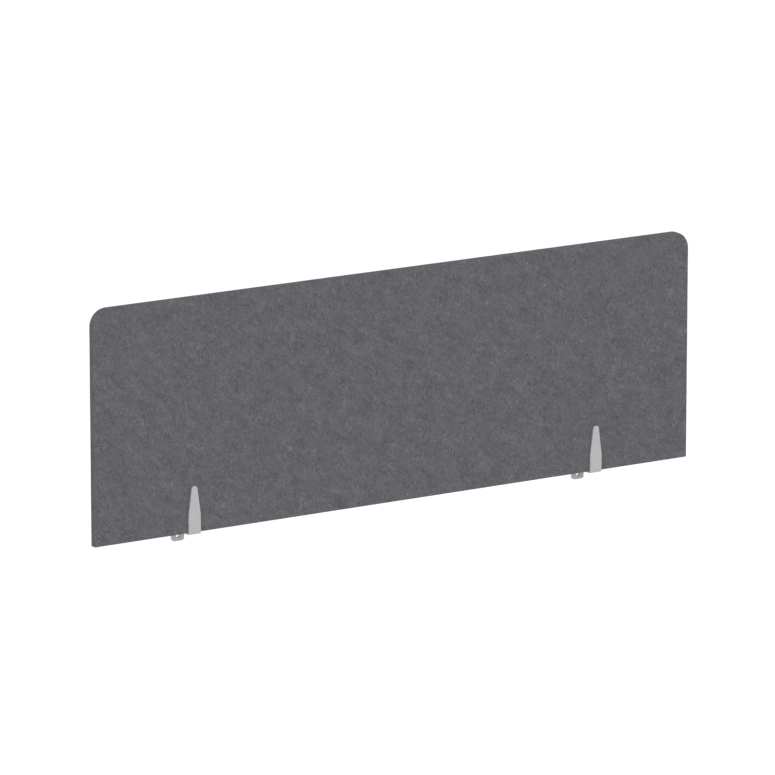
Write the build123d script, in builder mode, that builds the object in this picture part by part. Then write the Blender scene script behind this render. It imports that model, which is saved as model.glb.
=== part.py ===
from build123d import *
import os

# Acoustic desk screen: a pressed felt board in two forked steel brackets that bolt to a desk's frame.
# Millimetres. +X runs along the board, +Y goes from the board towards the table and +Z is up.
# The origin is midway between the brackets' bolt holes, on the rear faces of their lugs.

# Felt board
board_length = 1180
board_height = 400
board_thickness = 12
board_corner_radius = 30

# Brackets: their spacing, and how far their lugs reach behind the board's front and below its edge
bracket_spacing = 800
lug_reach = 58
bolt_drop = 17
bolt_hole_diameter = 7

# Bent steel strips, two to a bracket
strip_width = 23
strip_thickness = 3
strip_edge_radius = 0.4
bend_inner_radius = 1
tine_height = 80
tine_shoulder_height = 30
tine_shoulder_radius = 40
tine_tip_radius = 5.5
lug_end_margin = 8.5
lug_corner_radius = 4.5

# Countersunk screws through the rear tine into the board
screw_shank_diameter = 3.5
screw_head_diameter = 7
screw_rim_height = 0.3
screw_length = 11
screw_tip_length = 2.5
screw_lowest_height = 40
screw_pitch = 22
screw_count = 2
recess_span = 3.8
recess_slot_width = 0.9
recess_depth = 1.5
recess_taper_degrees = 8

# Rivets through the two runs of a bracket: flush on top, domed below, spaced along the free run
rivet_shank_diameter = 5
rivet_head_diameter = 8.5
rivet_dome_diameter = 9
rivet_dome_height = 1.8
rivet_place_shares = (0.3, 0.7)

# Clearances, how far a cut runs past what it cuts, and how closely sizes have to match to be the same
fastener_clearance = 0.1
bend_clearance = 0.2
hole_edge_chamfer = 0.3
overrun = 5
match_tolerance = 0.005

# Places that follow from the sizes
board_front = -lug_reach
board_back = board_front + board_thickness
board_bottom = bolt_drop
board_edge_radius = bend_inner_radius + bend_clearance
rear_tine_back = board_back + strip_thickness
run_top = board_bottom + strip_thickness
run_underside = board_bottom - strip_thickness
lug_front = -2 * strip_thickness
bolt_hole_radius = bolt_hole_diameter / 2
screw_shank_radius = screw_shank_diameter / 2
screw_head_radius = screw_head_diameter / 2
rivet_shank_radius = rivet_shank_diameter / 2
rivet_head_radius = rivet_head_diameter / 2
screw_heights = [board_bottom + screw_lowest_height + i * screw_pitch for i in range(screw_count)]
free_run = lug_front - rear_tine_back
rivet_depths = [rear_tine_back + share * free_run for share in rivet_place_shares]
bracket_places = {"left": -bracket_spacing / 2, "right": bracket_spacing / 2}

os.makedirs("parts", exist_ok=True)


def front_view(x, y=0, z=0):
    """A plane seen from the front, with its own x along +X and its own y along +Z."""
    return Plane(origin=(x, y, z), x_dir=(1, 0, 0), z_dir=(0, -1, 0))


def rear_view(x, y, z):
    """A plane that faces +Y, so that a hole feature on it cuts towards the board's front."""
    return Plane(origin=(x, y, z), x_dir=(-1, 0, 0), z_dir=(0, 1, 0))


def finish_part(part, name):
    """Labels a finished piece and writes it to its own file."""
    part.label = name
    export_step(part, f"parts/{name}.step")


def strip_outline(x):
    """Front view of a strip: lug with round corners below, tapered tine with a round tip above."""
    shoulder = board_bottom + tine_shoulder_height
    with BuildSketch(front_view(x)) as outline:
        with Locations((0, (shoulder - lug_end_margin) / 2)):
            Rectangle(strip_width, shoulder + lug_end_margin)
        with Locations((0, board_bottom + tine_height - tine_tip_radius)):
            Circle(tine_tip_radius)
        make_hull()
        fillet(outline.vertices().group_by(Axis.Y)[1], tine_shoulder_radius)
        fillet(outline.vertices().group_by(Axis.Y)[0], lug_corner_radius)
    return outline.sketch


def sharp_edges(strip):
    """The strip's cut edges, without the bend lines and the tangent lines across its thickness."""
    longest_tangent = strip_thickness + strip_edge_radius
    across = strip.edges().filter_by(Axis.X)
    through = strip.edges().filter_by(Axis.Y)
    bend_lines = across.filter_by(lambda e: e.length > strip_width - strip_edge_radius)
    tangent_lines = through.filter_by(lambda e: e.length < longest_tangent)
    return strip.edges() - bend_lines - tangent_lines


def strip_profile(x, tine_middle, run_middle, lug_middle):
    """Side view of a strip, bent up into a tine at one end and down into a lug at the other."""
    with BuildSketch(Plane.YZ.offset(x)) as profile:
        with BuildLine():
            FilletPolyline(
                (tine_middle, board_bottom + tine_height + overrun),
                (tine_middle, run_middle),
                (lug_middle, run_middle),
                (lug_middle, -lug_end_margin - overrun),
                radius=bend_inner_radius + strip_thickness / 2,
            )
        trace(line_width=strip_thickness)
    return profile.sketch


def cut_strip(x, tine_middle, run_middle, lug_middle):
    """Adds a bent strip to the open part: its side view across its width, cut to its front view."""
    profile = strip_profile(x, tine_middle, run_middle, lug_middle)
    extrude(profile, amount=strip_width / 2 + overrun, both=True)
    reach = lug_reach + strip_thickness + overrun
    extrude(strip_outline(x), amount=reach, both=True, mode=Mode.INTERSECT)


def ease_bolt_hole(strip):
    """Breaks the sharp edges of the bolt hole in a lug."""
    circles = strip.edges().filter_by(GeomType.CIRCLE)
    rims = circles.filter_by(lambda e: abs(e.radius - bolt_hole_radius) < match_tolerance)
    chamfer(rims, hole_edge_chamfer)


# Felt board: one pressed sheet, with its edges softened and pilot holes for the screws in its back
with BuildPart() as board:
    with BuildSketch(front_view(0, board_back)) as board_outline:
        with Locations((0, board_bottom + board_height / 2)):
            Rectangle(board_length, board_height)
        fillet(board_outline.vertices().group_by(Axis.Y)[-1], board_corner_radius)
    extrude(amount=board_thickness)
    heel_edges = board.edges().filter_by(Axis.Y).group_by(Axis.Z)[0]
    face_edges = board.faces().filter_by(Axis.Y).edges()
    fillet(heel_edges + face_edges, board_edge_radius)
    pilot_depth = screw_length - strip_thickness + fastener_clearance
    for x in bracket_places.values():
        with Locations(*[rear_view(x, board_back, z) for z in screw_heights]):
            Hole(screw_shank_radius + fastener_clearance, depth=pilot_depth)
finish_part(board.part, "acoustic_panel")

for side, x in bracket_places.items():
    # Front strip: tine on the board's front face, run under the board, inner half of the lug
    with BuildPart() as front_strip:
        cut_strip(
            x,
            tine_middle=board_front - strip_thickness / 2,
            run_middle=board_bottom - strip_thickness / 2,
            lug_middle=lug_front + strip_thickness / 2,
        )
        fillet(sharp_edges(front_strip), strip_edge_radius)
        with Locations(rear_view(x, 0, 0)):
            Hole(bolt_hole_radius)
        ease_bolt_hole(front_strip)
        with Locations(*[Plane(origin=(x, y, run_top)) for y in rivet_depths]):
            Hole(rivet_shank_radius + fastener_clearance)
    finish_part(front_strip.part, f"front_strip_{side}")

    # Rear strip: tine on the board's back face, run on top of the front strip, outer half of the lug
    with BuildPart() as rear_strip:
        cut_strip(
            x,
            tine_middle=rear_tine_back - strip_thickness / 2,
            run_middle=run_top - strip_thickness / 2,
            lug_middle=-strip_thickness / 2,
        )
        fillet(sharp_edges(rear_strip), strip_edge_radius)
        with Locations(rear_view(x, 0, 0)):
            Hole(bolt_hole_radius)
        ease_bolt_hole(rear_strip)
        with Locations(*[Plane(origin=(x, y, run_top)) for y in rivet_depths]):
            CounterSinkHole(
                rivet_shank_radius + fastener_clearance,
                rivet_head_radius + fastener_clearance,
                counter_sink_angle=90,
            )
        with Locations(*[rear_view(x, rear_tine_back, z) for z in screw_heights]):
            CounterSinkHole(
                screw_shank_radius + fastener_clearance,
                screw_head_radius + screw_rim_height + fastener_clearance,
                counter_sink_angle=90,
            )
    finish_part(rear_strip.part, f"rear_strip_{side}")

    # Panel screws: countersunk, with a cross recess and a pointed tip
    with BuildPart() as screws:
        cone_height = screw_head_radius - screw_shank_radius
        for z in screw_heights:
            with BuildSketch(Plane(origin=(x, rear_tine_back, z))):
                with BuildLine():
                    Polyline(
                        (0, 0),
                        (screw_head_radius, 0),
                        (screw_head_radius, -screw_rim_height),
                        (screw_shank_radius, -screw_rim_height - cone_height),
                        (screw_shank_radius, screw_tip_length - screw_length),
                        (0, -screw_length),
                        close=True,
                    )
                make_face()
            revolve(axis=Axis((x, rear_tine_back, z), (0, 1, 0)))
            with BuildSketch(rear_view(x, rear_tine_back, z)):
                Rectangle(recess_span, recess_slot_width)
                Rectangle(recess_slot_width, recess_span)
            extrude(amount=-recess_depth, taper=recess_taper_degrees, mode=Mode.SUBTRACT)
    finish_part(screws.part, f"panel_screws_{side}")

    # Strip rivets: flush head on top, where the table rests, and a low dome underneath
    with BuildPart() as rivets:
        cone_height = rivet_head_radius - rivet_shank_radius
        dome_radius = (rivet_dome_diameter**2 / 4 + rivet_dome_height**2) / (2 * rivet_dome_height)
        for y in rivet_depths:
            with BuildSketch(front_view(x, y)):
                with BuildLine():
                    Polyline(
                        (0, run_underside - rivet_dome_height),
                        (0, run_top),
                        (rivet_head_radius, run_top),
                        (rivet_shank_radius, run_top - cone_height),
                        (rivet_shank_radius, run_underside),
                        (rivet_dome_diameter / 2, run_underside),
                    )
                    RadiusArc(
                        (rivet_dome_diameter / 2, run_underside),
                        (0, run_underside - rivet_dome_height),
                        dome_radius,
                    )
                make_face()
            revolve(axis=Axis((x, y, 0), (0, 0, 1)))
    finish_part(rivets.part, f"strip_rivets_{side}")
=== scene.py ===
import math

import bpy
import numpy as np
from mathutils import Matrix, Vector, noise


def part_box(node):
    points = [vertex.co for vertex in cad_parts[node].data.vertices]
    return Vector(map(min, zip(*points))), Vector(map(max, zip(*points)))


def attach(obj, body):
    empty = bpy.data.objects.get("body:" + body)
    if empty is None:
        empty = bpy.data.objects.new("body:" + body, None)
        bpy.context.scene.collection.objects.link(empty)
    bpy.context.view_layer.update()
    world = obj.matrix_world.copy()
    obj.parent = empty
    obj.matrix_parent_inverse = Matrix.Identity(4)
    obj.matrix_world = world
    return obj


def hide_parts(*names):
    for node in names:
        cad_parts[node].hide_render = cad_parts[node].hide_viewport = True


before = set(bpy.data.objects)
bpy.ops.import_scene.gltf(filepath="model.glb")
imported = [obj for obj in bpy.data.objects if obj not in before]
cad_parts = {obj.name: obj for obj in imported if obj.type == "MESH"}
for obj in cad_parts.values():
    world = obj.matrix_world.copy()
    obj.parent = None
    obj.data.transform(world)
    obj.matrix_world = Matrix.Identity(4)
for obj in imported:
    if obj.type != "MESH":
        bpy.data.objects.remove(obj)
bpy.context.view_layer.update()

# Metres, apart from the sizes of the materials' patterns, which are in millimetres.
# The frame's origin is midway between the brackets' bolt holes. +Y runs from the board towards the table.
MM = 0.001

# The board's and the brackets' places, from the frame, and the shape of their tines
board_low, board_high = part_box("acoustic_panel")
strip_low, strip_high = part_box("front_strip_right")
BOARD_THICKNESS = board_high.y - board_low.y
BRACKET_X = (strip_low.x + strip_high.x) / 2
TINE_HALF_WIDTH = (strip_high.x - strip_low.x) / 2
TINE_HEIGHT = strip_high.z - board_low.z
TINE_TIP_RADIUS = 5.5 * MM
TINE_SHOULDER_HEIGHT = 30 * MM

# Felt board: round corners, softened edges, and how closely its mesh is divided
CORNER_RADIUS = 30 * MM
EDGE_RADIUS = 1.2 * MM
HEEL_REACH = 0.2 * MM
COARSE_STEP = 5.5 * MM
FINE_STEP = 1.3 * MM
FINE_MARGIN = 10 * MM
GRADING_SAMPLES = 4001
EDGE_TURN_STEPS = 5
EDGE_BAND_STEPS = 6

# Unevenness of the pressed felt: depth and spacing of its swells, and of its cut edges
SWELL_DEPTH = 0.16 * MM
SWELL_SPACING = 46 * MM
RIPPLE_DEPTH = 0.09 * MM
RIPPLE_SPACING = 17 * MM
CUT_DEPTH = 0.14 * MM
CUT_SPACING = 21 * MM
FRONT_SEED = 3.1
BACK_SEED = 23.7
CUT_SEED = 41.0
RIPPLE_SEED_STEP = 5
SEED_DIRECTION = (1.0, 1.7, 0.6)

# How the felt is pressed under the tines and swells beside them
PRESS_DEPTH = 0.05 * MM
PRESS_REACH = 1.2 * MM
SWELL_BESIDE = 0.22 * MM
SWELL_BESIDE_REACH = 5 * MM

# Colours, as linear values. The fibres' colour is what a tone of 1 adds to the felt.
FELT_GREENISH = (0.1159, 0.1217, 0.1327)
FELT_MAUVE = (0.1253, 0.1197, 0.1347)
FELT_FIBRES = (0.127, 0.127, 0.134)
STRAND_DARK = (0.055, 0.055, 0.065)
STRAND_LIGHT = (0.27, 0.27, 0.29)
PAINT_COLOUR = (0.467, 0.467, 0.468)
PAINT_RUBBED = (0.56, 0.56, 0.555)
ZINC_COLOUR = (0.62, 0.62, 0.61)
ZINC_DULL = (0.52, 0.53, 0.54)
FLOOR_COLOUR = (0.85, 0.85, 0.85)
WHITE = (1.0, 1.0, 1.0)

# Sizes of the felt's patterns, with their turns in degrees as seen from the front
WANDER_SIZE = 24
WANDER_REACH = 9.0
CLOUD_SIZE = (34, 24, 22)
CLOUD_TURN = -25
SMUDGE_SIZE = (23, 12, 12)
SMUDGE_TURN = -30
PATCH_SIZE = 30
GRAIN_SIZE = 2.4
TINT_SIZE = 22
SPECK_SIZE = (0.9, 0.5, 0.9)
BUNDLE_SIZE = (12.0, 1.2, 2.8)
BUNDLE_TURNS_AND_WEIGHTS = ((-45, 1.1), (-76, 0.8), (77, 0.65), (-18, 0.6), (30, 0.45), (52, 0.6))

# How strongly each pattern changes the felt's tone. Light bundles are stretched, and dark tones eased.
CLOUD_TONE = 0.55
SMUDGE_LIGHTEST = 0.05
SMUDGE_DARKEST = -0.09
GRAIN_TONE = 0.54
BUNDLE_TONE = 0.6
LIGHT_END_START = 0.1
LIGHT_END_TONE = 0.6
DARK_END_START = 0.2
DARK_END_EASE = 0.6
SPECK_TONE = 1.1
# Painted shade: the cut edges are darkened to this share, as their top and sides catch more light than the
# faces.
CUT_EDGE_PAINTED_SHADE = 0.93

# How high each pattern stands in the felt's bump, before the bump's own depth
BUNDLE_HEIGHT = 0.5
GRAIN_HEIGHT = 0.5
SPECK_HEIGHT = 0.8
STRAND_HEIGHT = 0.2
FELT_BUMP = 0.35 * MM

# Single fibres: sizes of their cells, one for each layer, their own size and how they curl
STRAND_CELLS = (5.2, 4.0, 6.8)
STRAND_LAYER_OFFSET = (13.0, 5.0, 29.0)
STRAND_SQUEEZE = (1.0, 3.0, 1.0)
STRAND_HALF_WIDTH = 0.13
STRAND_CORE_SHARE = 0.4
STRAND_LENGTH_SHARE = 0.62
STRAND_TAPER_SHARE = 0.6
STRAND_SHIFT_SHARE = 0.5
STRAND_BOW = 0.5
CURL_SIZE = 2.6
CURL_REACH = 1.3

# Powder coat and zinc: sizes of their patterns, their bumps and the wear along edges
PEEL_SIZE = 1.1
PAINT_GRIT_SIZE = 0.28
PAINT_GRIT_HEIGHT = 0.25
PAINT_CLOUD_SIZE = 14
PAINT_BUMP = 0.13 * MM
WEAR_REACH = 0.7 * MM
WEAR_SAMPLES = 6
WEAR_TONE = 0.35
WEAR_POLISH = 0.1
ZINC_GRIT_SIZE = 0.2
ZINC_CLOUD_SIZE = 2.5
ZINC_BUMP = 0.03 * MM

# Camera, aimed at the board's front
CAMERA_AZIMUTH = -32.16
CAMERA_ELEVATION = 13.26
CAMERA_DISTANCE = 11.890
CAMERA_AIM = Vector((-0.0211, -0.058, 0.2167))
CAMERA_LENS_MM = 328.7
CAMERA_SENSOR_MM = 36

# Room: the floor lies a desk's height below the brackets
FLOOR_DROP = 0.72
FLOOR_RADIUS = 55
FLOOR_SIDES = 96
FLOOR_GLOW = 0.25
SKY_STRENGTH = 0.89
LAMP_AZIMUTH = -28
LAMP_ELEVATION = 15
LAMP_STRENGTH = 0.6
LAMP_SPREAD = 50


class Nodes:
    """Builds a node tree from short calls. A value is a number, a tuple or another node's output."""

    def __init__(self, owner):
        owner.use_nodes = True
        self.tree = owner.node_tree
        self.tree.nodes.clear()

    def give(self, socket, value):
        if isinstance(value, bpy.types.NodeSocket):
            self.tree.links.new(value, socket)
        else:
            socket.default_value = value

    def add(self, kind, inputs=(), **settings):
        node = self.tree.nodes.new("ShaderNode" + kind)
        for name, value in settings.items():
            setattr(node, name, value)
        for name, value in dict(inputs).items():
            self.give(node.inputs[name], value)
        return node

    def maths(self, operation, *values):
        node = self.add("Math", enumerate(values), operation=operation)
        return node.outputs[0]

    def plus(self, total, value, factor):
        """The total plus the value times the factor."""
        return self.maths("MULTIPLY_ADD", value, factor, total)

    def centred(self, value):
        """A value from 0 to 1, moved so that its middle is 0."""
        return self.maths("SUBTRACT", value, 0.5)

    def vector(self, operation, *values):
        node = self.add("VectorMath", enumerate(values), operation=operation)
        return node.outputs[0]

    def scaled(self, vector, factor):
        node = self.add("VectorMath", {"Vector": vector, "Scale": factor}, operation="SCALE")
        return node.outputs[0]

    def turned(self, vector, angle):
        """The vector turned about Y by an angle in radians."""
        inputs = {"Vector": vector, "Angle": angle}
        return self.add("VectorRotate", inputs, rotation_type="Y_AXIS").outputs[0]

    def streaked(self, vector, degrees, size):
        """The vector turned about Y, then divided by the sizes along and across the streaks."""
        return self.vector("DIVIDE", self.turned(vector, math.radians(degrees)), size)

    def noise(self, vector, detail=2, roughness=0.5, offset=(0, 0, 0)):
        """Cloudy noise with a pattern about one unit wide, as a number near 0.5 and as a colour."""
        place = self.vector("ADD", vector, offset)
        inputs = {"Vector": place, "Scale": 1, "Detail": detail, "Roughness": roughness}
        return self.add("TexNoise", inputs).outputs

    def sway(self, place, size, reach, offset=(0, 0, 0)):
        """A soft shift to and fro over places about this size apart, of up to about half the reach."""
        shift = self.noise(self.scaled(place, 1 / size), detail=1, offset=offset)[1]
        return self.scaled(self.vector("SUBTRACT", shift, (0.5, 0.5, 0.5)), reach)

    def ramp(self, value, low, high, low_out=0.0, high_out=1.0):
        """A smooth step from low_out to high_out as the value goes from low to high."""
        inputs = {"Value": value, "From Min": low, "From Max": high, "To Min": low_out, "To Max": high_out}
        return self.add("MapRange", inputs, interpolation_type="SMOOTHSTEP").outputs[0]

    def mix(self, share, first, second):
        """A colour that goes from the first to the second as share goes from 0 to 1."""
        node = self.add("Mix", data_type="RGBA")
        for socket, value in zip((node.inputs[0], node.inputs[6], node.inputs[7]), (share, first, second)):
            self.give(socket, value)
        return node.outputs[2]

    def seen(self):
        """1 for the camera's own rays and for glossy and clear ones, and 0 for the rest."""
        path = self.add("LightPath").outputs
        glossy_or_clear = self.maths("MAXIMUM", path["Is Glossy Ray"], path["Is Transmission Ray"])
        return self.maths("MAXIMUM", path["Is Camera Ray"], glossy_or_clear)


def opaque(colour):
    """A colour with its alpha, as colour sockets take it."""
    return (*colour, 1.0)


def new_material(name):
    """A material and the builder for its nodes."""
    material = bpy.data.materials.new(name)
    return material, Nodes(material)


def place_in_mm(nodes):
    """Where a point is on the object, in millimetres of the frame."""
    return nodes.scaled(nodes.add("TexCoord").outputs["Object"], 1 / MM)


def finish_material(nodes, shader):
    """Shows the shader on the surface."""
    nodes.add("OutputMaterial", {"Surface": shader.outputs[0]})


def fibre_bundles(nodes, place, swayed):
    """Soft crossing streaks of matted fibres, around 0. They are stronger in some patches."""
    total = 0.0
    for turn, (angle, weight) in enumerate(BUNDLE_TURNS_AND_WEIGHTS):
        streaks = nodes.streaked(swayed, angle, BUNDLE_SIZE)
        value = nodes.noise(streaks, detail=3, roughness=0.6, offset=(17.0 * turn, 3.0, 5.0))[0]
        total = nodes.plus(total, nodes.centred(value), weight)
    patches = nodes.noise(nodes.scaled(place, 1 / PATCH_SIZE), detail=1, offset=(3, 50, 8))[0]
    strength = nodes.ramp(patches, low=0.3, high=0.7, low_out=0.55, high_out=1.35)
    return nodes.maths("MULTIPLY", total, strength)


def felt_tone(nodes, swayed, bundles, grain):
    """How much lighter than its base colour the felt is, as a share of its fibres' colour."""
    clouds = nodes.streaked(swayed, CLOUD_TURN, CLOUD_SIZE)
    clouds = nodes.noise(clouds, detail=4, roughness=0.71)[0]
    smudges = nodes.streaked(swayed, SMUDGE_TURN, SMUDGE_SIZE)
    smudges = nodes.noise(smudges, detail=2, offset=(40, 7, 3))[0]
    tone = nodes.ramp(smudges, low=0.35, high=0.75, low_out=SMUDGE_LIGHTEST, high_out=SMUDGE_DARKEST)
    tone = nodes.plus(tone, nodes.centred(clouds), CLOUD_TONE)
    tone = nodes.plus(tone, nodes.centred(grain), GRAIN_TONE)
    tone = nodes.plus(tone, bundles, BUNDLE_TONE)
    light_ends = nodes.maths("MAXIMUM", nodes.maths("SUBTRACT", bundles, LIGHT_END_START), 0.0)
    tone = nodes.plus(tone, light_ends, LIGHT_END_TONE)
    dark_ends = nodes.maths("MINIMUM", nodes.maths("ADD", tone, DARK_END_START), 0.0)
    return nodes.plus(tone, dark_ends, -DARK_END_EASE)


def strands(nodes, place, cell, offset):
    """Single fibres in the plane of the board, two in each cell, turned at random.

    Gives for both how much of a point they cover, and two random numbers for their tone and strength.
    """
    squeezed = nodes.vector("MULTIPLY", nodes.vector("ADD", place, offset), STRAND_SQUEEZE)
    cells = nodes.add("TexVoronoi", {"Vector": squeezed, "Scale": 1 / cell, "Randomness": 1.0})
    middle = nodes.vector("SUBTRACT", squeezed, cells.outputs["Position"])
    chances = nodes.add("SeparateColor", {"Color": cells.outputs["Color"]}).outputs
    length = STRAND_LENGTH_SHARE * cell
    pair = []
    for turn, bend, shift in ((0, 1, 2), (1, 2, 0)):
        angle = nodes.maths("MULTIPLY", chances[turn], math.pi)
        along = nodes.add("SeparateXYZ", {"Vector": nodes.turned(middle, angle)}).outputs
        aside = nodes.plus(along["Z"], nodes.centred(chances[shift]), STRAND_SHIFT_SHARE * cell)
        bow = nodes.maths("MULTIPLY", nodes.centred(chances[bend]), STRAND_BOW / length)
        square = nodes.maths("MULTIPLY", along["X"], along["X"])
        across = nodes.maths("ABSOLUTE", nodes.plus(aside, square, bow))
        core = STRAND_CORE_SHARE * STRAND_HALF_WIDTH
        body = nodes.ramp(across, low=core, high=STRAND_HALF_WIDTH, low_out=1.0, high_out=0.0)
        reach = nodes.maths("ABSOLUTE", along["X"])
        end = nodes.ramp(reach, low=STRAND_TAPER_SHARE * length, high=length, low_out=1.0, high_out=0.0)
        pair.append((nodes.maths("MULTIPLY", body, end), chances[shift], chances[bend]))
    return pair


def cut_edges(nodes):
    """1 on the board's cut edges and 0 on its two faces."""
    normal = nodes.add("SeparateXYZ", {"Vector": nodes.add("TexCoord").outputs["Normal"]})
    return nodes.ramp(nodes.maths("ABSOLUTE", normal.outputs["Y"]), low=0.9, high=0.3)


def make_felt():
    """Heathered dark grey pressed felt: clouds, crossing fibre bundles, single light and dark fibres, and
    painted shade on its cut edges.
    """
    material, nodes = new_material("pressed_felt")
    place = place_in_mm(nodes)
    swayed = nodes.vector("ADD", place, nodes.sway(place, WANDER_SIZE, WANDER_REACH))
    bundles = fibre_bundles(nodes, place, swayed)
    grain = nodes.noise(nodes.scaled(place, 1 / GRAIN_SIZE), detail=2, roughness=0.6, offset=(9, 2, 6))[0]

    cut = cut_edges(nodes)
    specks = nodes.noise(nodes.vector("DIVIDE", place, SPECK_SIZE), detail=2, offset=(5, 31, 12))[0]
    specks = nodes.maths("MULTIPLY", nodes.centred(specks), cut)
    tone = nodes.plus(felt_tone(nodes, swayed, bundles, grain), specks, SPECK_TONE)
    tint = nodes.noise(nodes.scaled(place, 1 / TINT_SIZE), detail=3, roughness=0.84, offset=(70, 1, 20))[0]
    tint = nodes.ramp(tint, low=0.38, high=0.62)
    colour = nodes.mix(tint, opaque(FELT_GREENISH), opaque(FELT_MAUVE))
    colour = nodes.vector("ADD", colour, nodes.scaled(FELT_FIBRES, tone))
    # Painted shade: the cut edges are darkened so that they look no lighter than the faces in this light.
    colour = nodes.scaled(colour, nodes.plus(1.0, cut, CUT_EDGE_PAINTED_SHADE - 1))

    height = nodes.maths("MULTIPLY", bundles, BUNDLE_HEIGHT)
    height = nodes.plus(height, grain, GRAIN_HEIGHT)
    height = nodes.plus(height, specks, SPECK_HEIGHT)
    face = nodes.maths("SUBTRACT", 1.0, cut)
    curled = nodes.vector("ADD", swayed, nodes.sway(place, CURL_SIZE, CURL_REACH, offset=(8, 3, 61)))
    for layer, cell in enumerate(STRAND_CELLS):
        offset = [layer * step for step in STRAND_LAYER_OFFSET]
        for body, chance, strength in strands(nodes, curled, cell, offset):
            body = nodes.maths("MULTIPLY", body, face)
            lightness = nodes.ramp(chance, low=0.35, high=0.65)
            strand_colour = nodes.mix(lightness, opaque(STRAND_DARK), opaque(STRAND_LIGHT))
            strength = nodes.ramp(strength, low=0.0, high=1.0, low_out=0.3, high_out=0.68)
            colour = nodes.mix(nodes.maths("MULTIPLY", body, strength), colour, strand_colour)
            height = nodes.plus(height, body, STRAND_HEIGHT)

    bump = nodes.add("Bump", {"Height": height, "Strength": 0.55, "Distance": FELT_BUMP})
    shader = nodes.add("BsdfPrincipled", {
        "Base Color": colour,
        "Roughness": nodes.ramp(grain, low=0.3, high=0.7, low_out=0.88, high_out=1.0),
        "Normal": bump.outputs[0],
        "Specular IOR Level": 0.06,
        "Sheen Weight": 0.04,
        "Sheen Roughness": 0.6,
    })
    finish_material(nodes, shader)
    return material


def edge_wear(nodes):
    """0 on flat faces, rising to 1 where an edge turns within the wear's reach."""
    soft = nodes.add("Bevel", {"Radius": WEAR_REACH}, samples=WEAR_SAMPLES).outputs[0]
    sharp = nodes.add("NewGeometry").outputs["Normal"]
    facing = nodes.add("VectorMath", {0: soft, 1: sharp}, operation="DOT_PRODUCT").outputs["Value"]
    return nodes.ramp(facing, low=0.98, high=0.8)


def make_paint():
    """Light grey powder coat: fine orange peel, a faint unevenness of tone, slightly rubbed edges."""
    material, nodes = new_material("powder_coat")
    place = place_in_mm(nodes)
    peel = nodes.noise(nodes.scaled(place, 1 / PEEL_SIZE), detail=2, roughness=0.45)[0]
    grit = nodes.noise(nodes.scaled(place, 1 / PAINT_GRIT_SIZE), detail=1, offset=(4, 8, 1))[0]
    cloud_place = nodes.scaled(place, 1 / PAINT_CLOUD_SIZE)
    clouds = nodes.noise(cloud_place, detail=3, roughness=0.6, offset=(11, 2, 9))[0]

    level = nodes.ramp(clouds, low=0.25, high=0.75, low_out=0.975, high_out=1.025)
    grit_level = nodes.ramp(grit, low=0.3, high=0.7, low_out=0.965, high_out=1.032)
    peel_level = nodes.ramp(peel, low=0.3, high=0.7, low_out=0.985, high_out=1.013)
    level = nodes.maths("MULTIPLY", nodes.maths("MULTIPLY", level, grit_level), peel_level)
    rubbed = nodes.maths("MULTIPLY", edge_wear(nodes), nodes.ramp(clouds, low=0.45, high=0.6))
    wear = nodes.maths("MULTIPLY", rubbed, WEAR_TONE)
    colour = nodes.mix(wear, nodes.scaled(PAINT_COLOUR, level), opaque(PAINT_RUBBED))

    height = nodes.plus(peel, grit, PAINT_GRIT_HEIGHT)
    bump = nodes.add("Bump", {"Height": height, "Strength": 0.9, "Distance": PAINT_BUMP})
    rough = nodes.ramp(clouds, low=0.3, high=0.7, low_out=0.46, high_out=0.54)
    shader = nodes.add("BsdfPrincipled", {
        "Base Color": colour,
        "Roughness": nodes.plus(rough, rubbed, -WEAR_POLISH),
        "Normal": bump.outputs[0],
        "Specular IOR Level": 0.4,
    })
    finish_material(nodes, shader)
    return material


def make_zinc():
    """Zinc-plated steel, finely gritty, with cloudy passivation."""
    material, nodes = new_material("zinc_plate")
    place = place_in_mm(nodes)
    clouds = nodes.noise(nodes.scaled(place, 1 / ZINC_CLOUD_SIZE), detail=3, roughness=0.6)[0]
    grit = nodes.noise(nodes.scaled(place, 1 / ZINC_GRIT_SIZE), detail=1)[0]
    dullness = nodes.ramp(clouds, low=0.3, high=0.7)
    bump = nodes.add("Bump", {"Height": grit, "Strength": 0.3, "Distance": ZINC_BUMP})
    shader = nodes.add("BsdfPrincipled", {
        "Base Color": nodes.mix(dullness, opaque(ZINC_COLOUR), opaque(ZINC_DULL)),
        "Metallic": 1.0,
        "Roughness": nodes.ramp(clouds, low=0.3, high=0.7, low_out=0.28, high_out=0.42),
        "Normal": bump.outputs[0],
    })
    finish_material(nodes, shader)
    return material


def graded_lines(low, high, fine_zones):
    """Places from low to high, close together in the fine zones and wider apart elsewhere."""
    places = np.linspace(low, high, GRADING_SAMPLES)
    fine = np.zeros_like(places)
    for start, end in fine_zones:
        inside = np.clip(np.minimum(places - start, end - places) / COARSE_STEP + 0.5, 0, 1)
        fine = np.maximum(fine, inside)
    density = (1 - fine) / COARSE_STEP + fine / FINE_STEP
    steps = np.concatenate([[0], np.cumsum((density[1:] + density[:-1]) / 2 * np.diff(places))])
    count = int(round(steps[-1])) + 1
    return np.interp(np.linspace(0, steps[-1], count), steps, places)


def face_lines(low, high):
    """Columns and rows of the faces' grid: fine round the tines, and finest at the square lower corners."""
    reach = TINE_HALF_WIDTH + SWELL_BESIDE_REACH
    tine_zones = [(side * BRACKET_X - reach, side * BRACKET_X + reach) for side in (-1, 1)]
    columns = graded_lines(low[0], high[0], tine_zones)
    rows = graded_lines(low[1], high[1], [(low[1], low[1] + TINE_HEIGHT + FINE_MARGIN)])
    heel = np.array([HEEL_REACH / 2, HEEL_REACH])
    left_heel, right_heel = columns[0] + heel, columns[-1] - heel[::-1]
    columns = np.concatenate([columns[:1], left_heel, columns[1:-1], right_heel, columns[-1:]])
    rows = np.concatenate([rows[:1], rows[0] + heel, rows[1:]])
    return columns, rows


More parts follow.
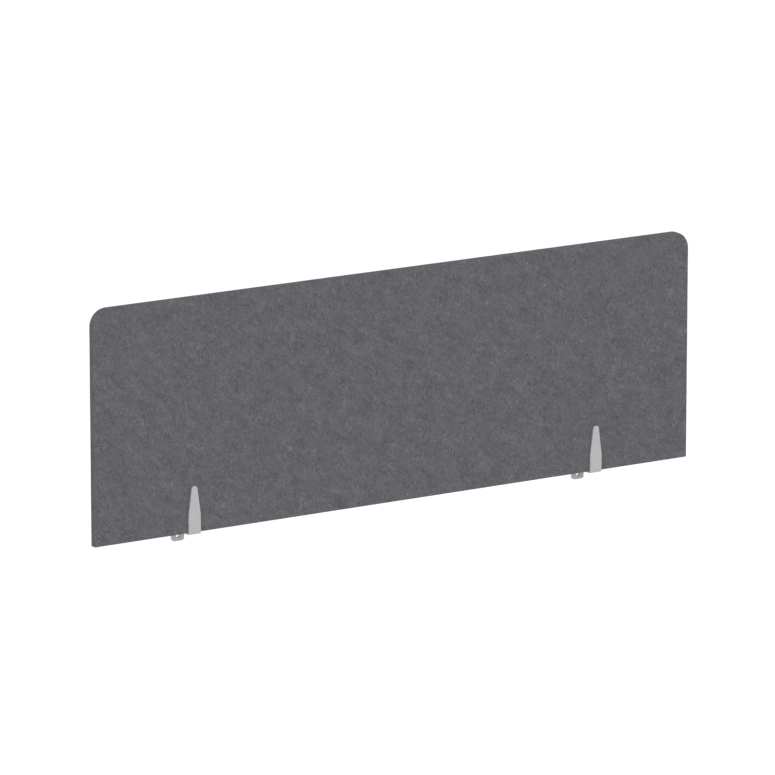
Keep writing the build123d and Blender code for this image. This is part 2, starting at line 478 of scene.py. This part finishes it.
def round_top_corners(x, z, low, high, radius):
    """Bends the two upper corner squares of a flat grid into quarter discs."""
    u = np.clip(np.abs(x - (low[0] + high[0]) / 2) - (high[0] - low[0]) / 2 + radius, 0, None) / radius
    v = np.clip(z - high[1] + radius, 0, None) / radius
    u_round, v_round = u * np.sqrt(1 - v * v / 2), v * np.sqrt(1 - u * u / 2)
    corner = (u > 0) & (v > 0)
    side = np.sign(x - (low[0] + high[0]) / 2)
    x = np.where(corner, x + side * (u_round - u) * radius, x)
    z = np.where(corner, z + (v_round - v) * radius, z)
    return x, z


def outward(x, z, low, high, radius):
    """Unit directions out of the outline at points on it, in the front view."""
    reach = np.where(z > high[1] - radius, radius, HEEL_REACH)
    core_x = np.clip(x, low[0] + reach, high[0] - reach)
    core_z = np.clip(z, low[1] + HEEL_REACH, high[1] - radius)
    away = np.stack([x - core_x, z - core_z], 1)
    return away / np.linalg.norm(away, axis=1, keepdims=True)


def tine_gap(x, z):
    """How far a point lies outside the nearer tine's outline, in the front view. It is negative inside."""
    dx, height = np.abs(np.abs(x) - BRACKET_X), z - board_low.z
    tip_height = TINE_HEIGHT - TINE_TIP_RADIUS
    share = np.clip((height - TINE_SHOULDER_HEIGHT) / (tip_height - TINE_SHOULDER_HEIGHT), 0, 1)
    half_width = TINE_HALF_WIDTH + (TINE_TIP_RADIUS - TINE_HALF_WIDTH) * share
    over = np.clip(height - tip_height, 0, None)
    return np.where(over > 0, np.hypot(dx, over) - TINE_TIP_RADIUS, dx - half_width)


def smooth(t):
    """A smooth step from 0 to 1 as t goes from 0 to 1."""
    t = np.clip(t, 0, 1)
    return t * t * (3 - 2 * t)


def unevenness(points, spacing, seed):
    """Smooth noise from -1 to 1 with swells about this far apart."""
    shift = Vector(SEED_DIRECTION) * seed
    return np.array([noise.noise(Vector(p) / spacing + shift) for p in points])


def face_relief(points, seed):
    """How far the felt's face stands out: soft swells, pressed flat under the tines, raised beside them."""
    gap = tine_gap(points[:, 0], points[:, 2])
    free = smooth(gap / SWELL_BESIDE_REACH)
    swell = SWELL_DEPTH * unevenness(points, SWELL_SPACING, seed)
    ripple = RIPPLE_DEPTH * unevenness(points, RIPPLE_SPACING, seed + RIPPLE_SEED_STEP)
    beside = SWELL_BESIDE * smooth(gap / PRESS_REACH / 2) * (1 - smooth(gap / SWELL_BESIDE_REACH / 2))
    pressed = PRESS_DEPTH * (1 - smooth(gap / PRESS_REACH + 1))
    return (swell + ripple) * free + beside - pressed


def edge_profile():
    """Steps round the board's edge, from its front to its back: how far out as a share, and how deep."""
    turns = np.linspace(0, math.pi / 2, EDGE_TURN_STEPS + 1)[1:]
    profile = [(math.sin(t), (1 - math.cos(t)) * EDGE_RADIUS) for t in turns]
    band = np.linspace(EDGE_RADIUS, BOARD_THICKNESS - EDGE_RADIUS, EDGE_BAND_STEPS + 1)[1:-1]
    back_turn = [(out, BOARD_THICKNESS - depth) for out, depth in reversed(profile)]
    return profile + [(1.0, depth) for depth in band] + back_turn


def edge_ring(out, depth, front_rim, back_rim, away):
    """One ring of points round the board's edge, between the rims of its two faces."""
    share = depth / BOARD_THICKNESS
    ring = front_rim * (1 - share) + back_rim * share
    cut = CUT_DEPTH * (unevenness(ring, CUT_SPACING, CUT_SEED) - 1) / 2
    ring[:, [0, 2]] += away * ((EDGE_RADIUS + cut) * out)[:, None]
    if depth < EDGE_RADIUS:
        ring[:, 1] = front_rim[:, 1] + depth
    elif depth > BOARD_THICKNESS - EDGE_RADIUS:
        ring[:, 1] = back_rim[:, 1] - (BOARD_THICKNESS - depth)
    return ring


def skin_faces(grid, loop, ring_count):
    """The skin's quads: the front's, the back's turned round, and those between the rings of the edge."""
    quads = np.stack([grid[:-1, :-1], grid[:-1, 1:], grid[1:, 1:], grid[1:, :-1]], -1).reshape(-1, 4)
    faces = [quads, quads[:, ::-1] + grid.size]
    first_ring = 2 * grid.size + np.arange(len(loop))
    rings = [first_ring + i * len(loop) for i in range(ring_count)]
    starts = [loop, *rings, grid.size + loop]
    for inner, outer in zip(starts[:-1], starts[1:]):
        faces.append(np.stack([inner, outer, np.roll(outer, -1), np.roll(inner, -1)], 1))
    return np.concatenate(faces)


def add_object(name, data):
    """A new object in the scene, which shows this mesh, lamp or camera data."""
    thing = bpy.data.objects.new(name, data)
    bpy.context.scene.collection.objects.link(thing)
    return thing


def make_board():
    """The felt board as one closed skin: two faces, joined round its edge by rings."""
    low = np.array([board_low.x + EDGE_RADIUS, board_low.z + EDGE_RADIUS])
    high = np.array([board_high.x - EDGE_RADIUS, board_high.z - EDGE_RADIUS])
    radius = CORNER_RADIUS - EDGE_RADIUS
    columns, rows = face_lines(low, high)
    x, z = (places.ravel() for places in np.meshgrid(columns, rows))
    x, z = round_top_corners(x, z, low, high, radius)
    front = np.stack([x, np.full_like(x, board_low.y), z], 1)
    back = np.stack([x, np.full_like(x, board_high.y), z], 1)
    front[:, 1] -= face_relief(front, FRONT_SEED)
    back[:, 1] += face_relief(back, BACK_SEED)

    grid = np.arange(x.size).reshape(len(rows), len(columns))
    loop = np.concatenate([grid[0, :-1], grid[:-1, -1], grid[-1, :0:-1], grid[:0:-1, 0]])
    away = outward(x[loop], z[loop], low, high, radius)
    rings = [edge_ring(out, depth, front[loop], back[loop], away) for out, depth in edge_profile()]
    points = np.concatenate([front, back, *rings])

    mesh = bpy.data.meshes.new("felt_board")
    mesh.from_pydata(points.tolist(), [], skin_faces(grid, loop, len(rings)).tolist())
    mesh.shade_smooth()
    return add_object("felt_board", mesh)


def paint_node(name, material):
    """Gives a carried-over CAD node its material."""
    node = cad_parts[name]
    node.data.materials.clear()
    node.data.materials.append(material)


def make_floor():
    """A plain pale floor, a desk's height below the brackets. It is clear from below."""
    turns = [2 * math.pi * i / FLOOR_SIDES for i in range(FLOOR_SIDES)]
    rim = [(math.cos(t) * FLOOR_RADIUS, math.sin(t) * FLOOR_RADIUS, -FLOOR_DROP) for t in turns]
    mesh = bpy.data.meshes.new("floor")
    mesh.from_pydata(rim, [], [list(range(FLOOR_SIDES))])
    material, nodes = new_material("pale_floor")
    plain = nodes.add("BsdfDiffuse", {"Color": opaque(FLOOR_COLOUR)})
    glow = nodes.add("Emission", {"Strength": nodes.maths("MULTIPLY", nodes.seen(), FLOOR_GLOW)})
    lit = nodes.add("AddShader", {0: plain.outputs[0], 1: glow.outputs[0]})
    below = nodes.add("NewGeometry").outputs["Backfacing"]
    clear = nodes.add("BsdfTransparent")
    shader = nodes.add("MixShader", {0: below, 1: lit.outputs[0], 2: clear.outputs[0]})
    finish_material(nodes, shader)
    mesh.materials.append(material)
    add_object("floor", mesh)


def make_sky():
    """Even soft light from all round, seen as white."""
    world = bpy.data.worlds.new("studio")
    bpy.context.scene.world = world
    nodes = Nodes(world)
    strength = nodes.plus(SKY_STRENGTH, nodes.seen(), 1 - SKY_STRENGTH)
    sky = nodes.add("Background", {"Color": opaque(WHITE), "Strength": strength})
    nodes.add("OutputWorld", {"Surface": sky.outputs[0]})


def towards(azimuth, elevation):
    """A direction away from the board. Azimuth 0 is in front of it, and positive is to its right."""
    a, e = math.radians(azimuth), math.radians(elevation)
    return Vector((math.sin(a) * math.cos(e), -math.cos(a) * math.cos(e), math.sin(e)))


def make_lamp():
    """A soft distant lamp in front of the board."""
    light = bpy.data.lights.new("key", "SUN")
    light.energy = LAMP_STRENGTH
    light.angle = math.radians(LAMP_SPREAD)
    lamp = add_object("key", light)
    lamp.rotation_euler = towards(LAMP_AZIMUTH, LAMP_ELEVATION).to_track_quat("Z", "Y").to_euler()


def make_camera():
    """The photograph's view."""
    data = bpy.data.cameras.new("camera")
    data.lens = CAMERA_LENS_MM
    data.sensor_width = CAMERA_SENSOR_MM
    data.clip_end = 2 * FLOOR_RADIUS
    camera = add_object("camera", data)
    back = towards(CAMERA_AZIMUTH, CAMERA_ELEVATION)
    camera.location = CAMERA_AIM + back * CAMERA_DISTANCE
    camera.rotation_euler = (-back).to_track_quat("-Z", "Y").to_euler()
    bpy.context.scene.camera = camera


make_camera()
make_floor()
make_sky()
make_lamp()

board = make_board()
board.data.materials.append(make_felt())
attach(board, "root")
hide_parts("acoustic_panel")

paint, zinc = make_paint(), make_zinc()
for side in ("left", "right"):
    paint_node(f"front_strip_{side}", paint)
    paint_node(f"rear_strip_{side}", paint)
    paint_node(f"strip_rivets_{side}", paint)
    paint_node(f"panel_screws_{side}", zinc)

bpy.context.scene.view_settings.view_transform = "Standard"
